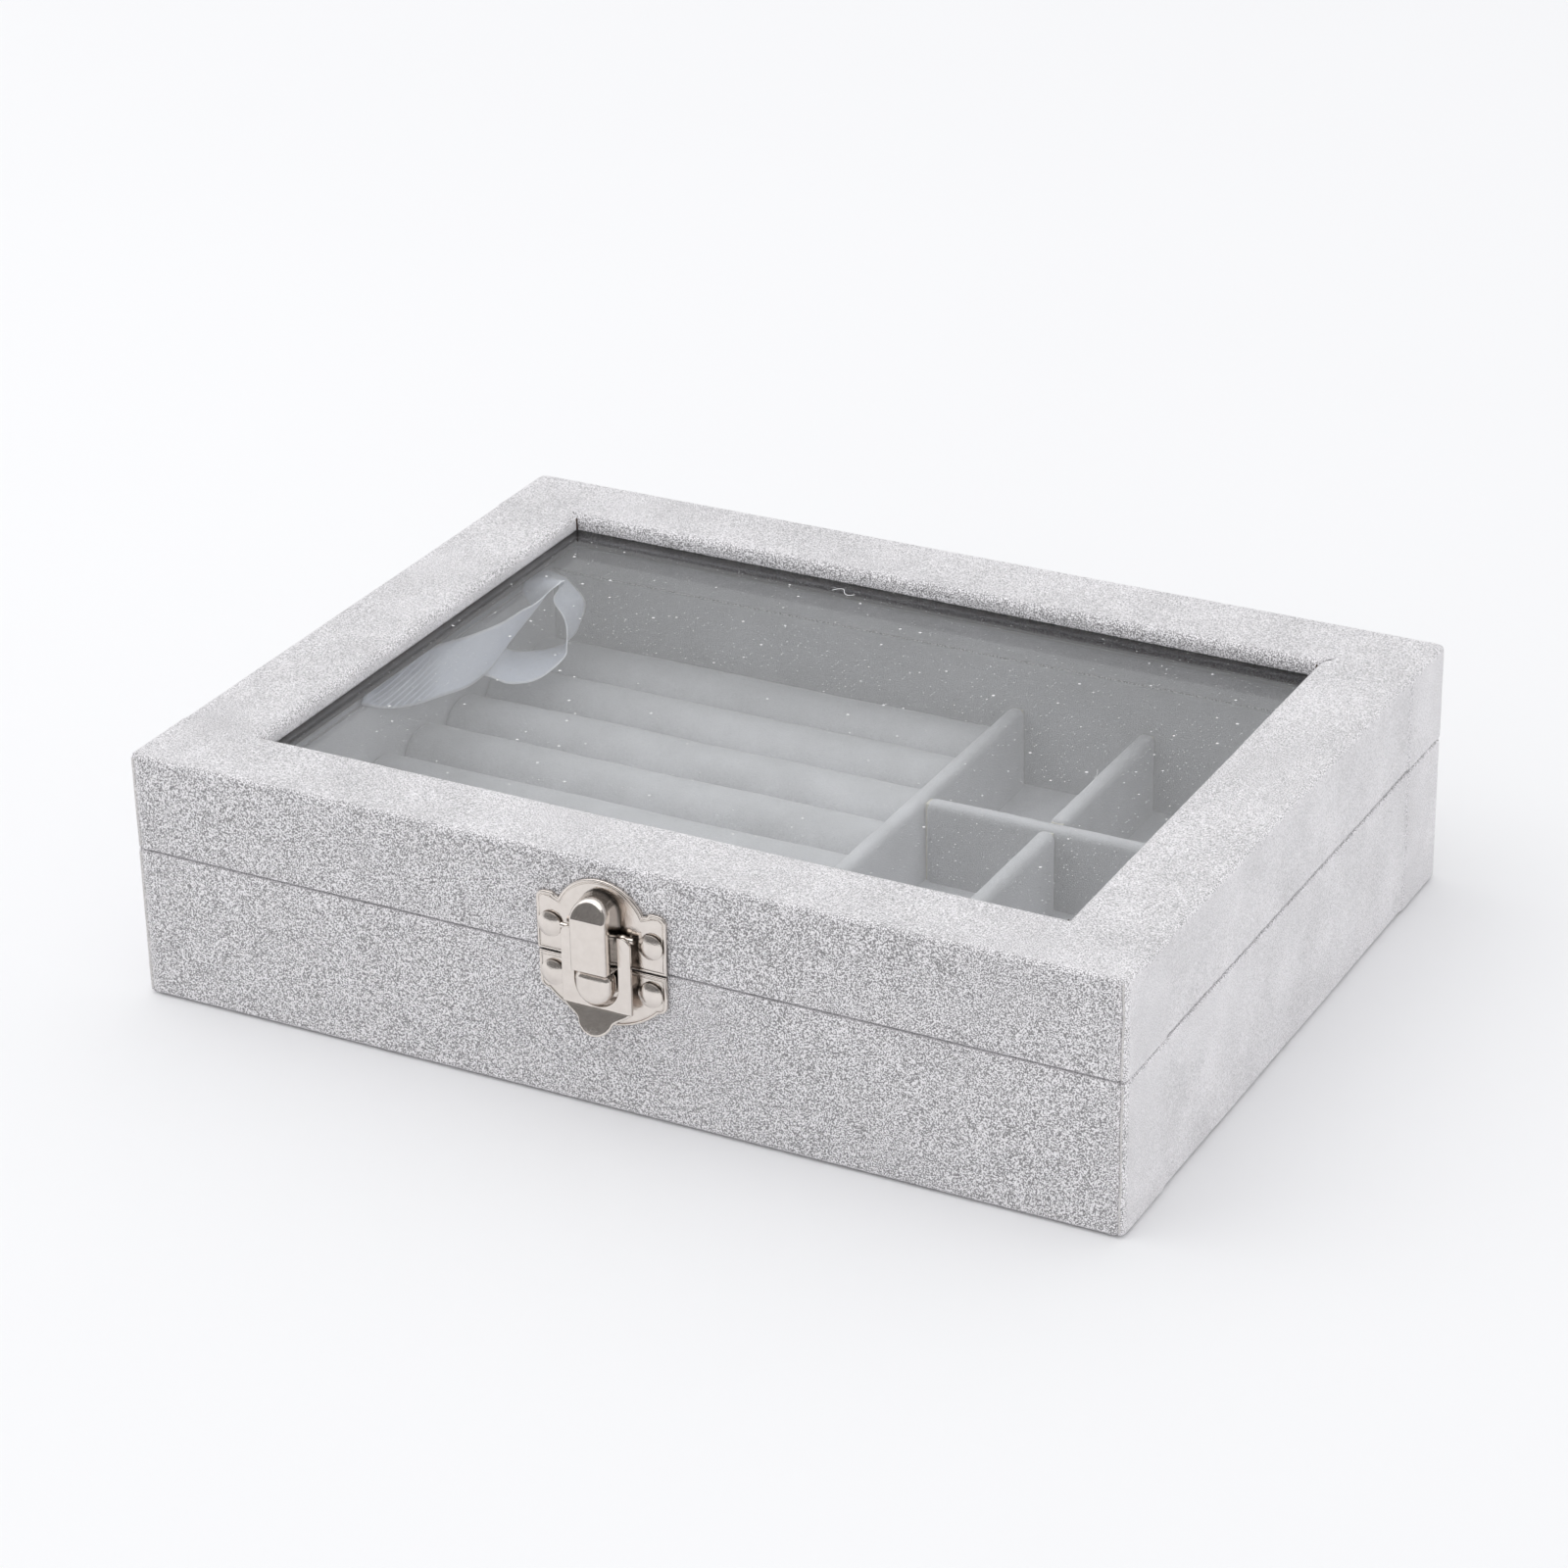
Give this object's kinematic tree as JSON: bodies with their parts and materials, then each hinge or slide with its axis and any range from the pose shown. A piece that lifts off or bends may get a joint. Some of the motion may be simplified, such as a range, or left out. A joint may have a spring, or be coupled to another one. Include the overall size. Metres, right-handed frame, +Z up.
{
  "type": "ring display box",
  "caption": "Velvet-covered ring display box: hinged lid with a glass window, padded ring rolls, divided compartments, nickel swing latch and ribbon lid stay.",
  "frame": {"origin": "centre of the underside, on the surface that the box stands on", "axes": "+X to the right along the width, seen from the latch; +Z up; the latch faces -Y and the hinges face +Y"},
  "size_m": [0.2, 0.1593, 0.05],
  "materials": {
    "velvet_cover": "short-pile light grey velvet with a fine sparkle",
    "velvet_lining": "short-pile grey velvet",
    "velvet_roll": "grey velvet wrapped round foam",
    "board": "raw brown fibreboard",
    "card": "grey card",
    "underside_sheet": "flat grey backing sheet",
    "nickel": "bright nickel plate on pressed steel",
    "glass": "clear flat glass",
    "satin_ribbon": "pale blue-grey satin"
  },
  "bodies": {
    "base": {"base_cover": "velvet_cover", "base_bottom_board": "board", "base_front_board": "board", "base_back_board": "board", "base_left_board": "board", "base_right_board": "board", "base_lining": "velvet_lining", "floor_lining": "velvet_lining", "underside_sheet": "underside_sheet", "roll_card": "card", "ring_roll_1": "velvet_roll", "ring_roll_2": "velvet_roll", "ring_roll_3": "velvet_roll", "ring_roll_4": "velvet_roll", "ring_roll_5": "velvet_roll", "ring_roll_6": "velvet_roll", "ring_roll_7": "velvet_roll", "ring_roll_8": "velvet_roll", "ring_roll_9": "velvet_roll", "long_divider_card": "card", "long_divider_cover": "velvet_lining", "column_divider_1_card": "card", "column_divider_1_cover": "velvet_lining", "column_divider_2_card": "card", "column_divider_2_cover": "velvet_lining", "row_divider_1_card": "card", "row_divider_1_cover": "velvet_lining", "row_divider_2_card": "card", "row_divider_2_cover": "velvet_lining", "latch_lower_plate": "nickel", "latch_lower_nails": "nickel", "hinge_base_leaves": "nickel", "hinge_base_nails": "nickel", "hinge_pins": "nickel", "lid_ribbon": "satin_ribbon"},
    "lid": {"lid_cover": "velvet_cover", "lid_frame_board": "board", "lid_front_board": "board", "lid_back_board": "board", "lid_left_board": "board", "lid_right_board": "board", "glass_pane": "glass", "glass_retainer": "card", "lid_lining": "velvet_lining", "latch_upper_plate": "nickel", "latch_catch_block": "nickel", "latch_upper_nails": "nickel", "hinge_lid_leaves": "nickel", "hinge_lid_nails": "nickel"},
    "flap": {"latch_flap": "nickel", "latch_pin": "nickel"}
  },
  "joints": [
    {"name": "lid_hinge", "type": "hinge", "parent": "base", "child": "lid", "pos_m": [0, 0.0768, 0.0305], "axis": [-1, 0, 0], "range_deg": [0, 100], "deforming": ["lid_ribbon"]},
    {"name": "flap_pivot", "type": "hinge", "parent": "lid", "child": "flap", "pos_m": [0, -0.0771, 0.037], "axis": [-1, 0, 0], "range_deg": [0, 120]}
  ]
}
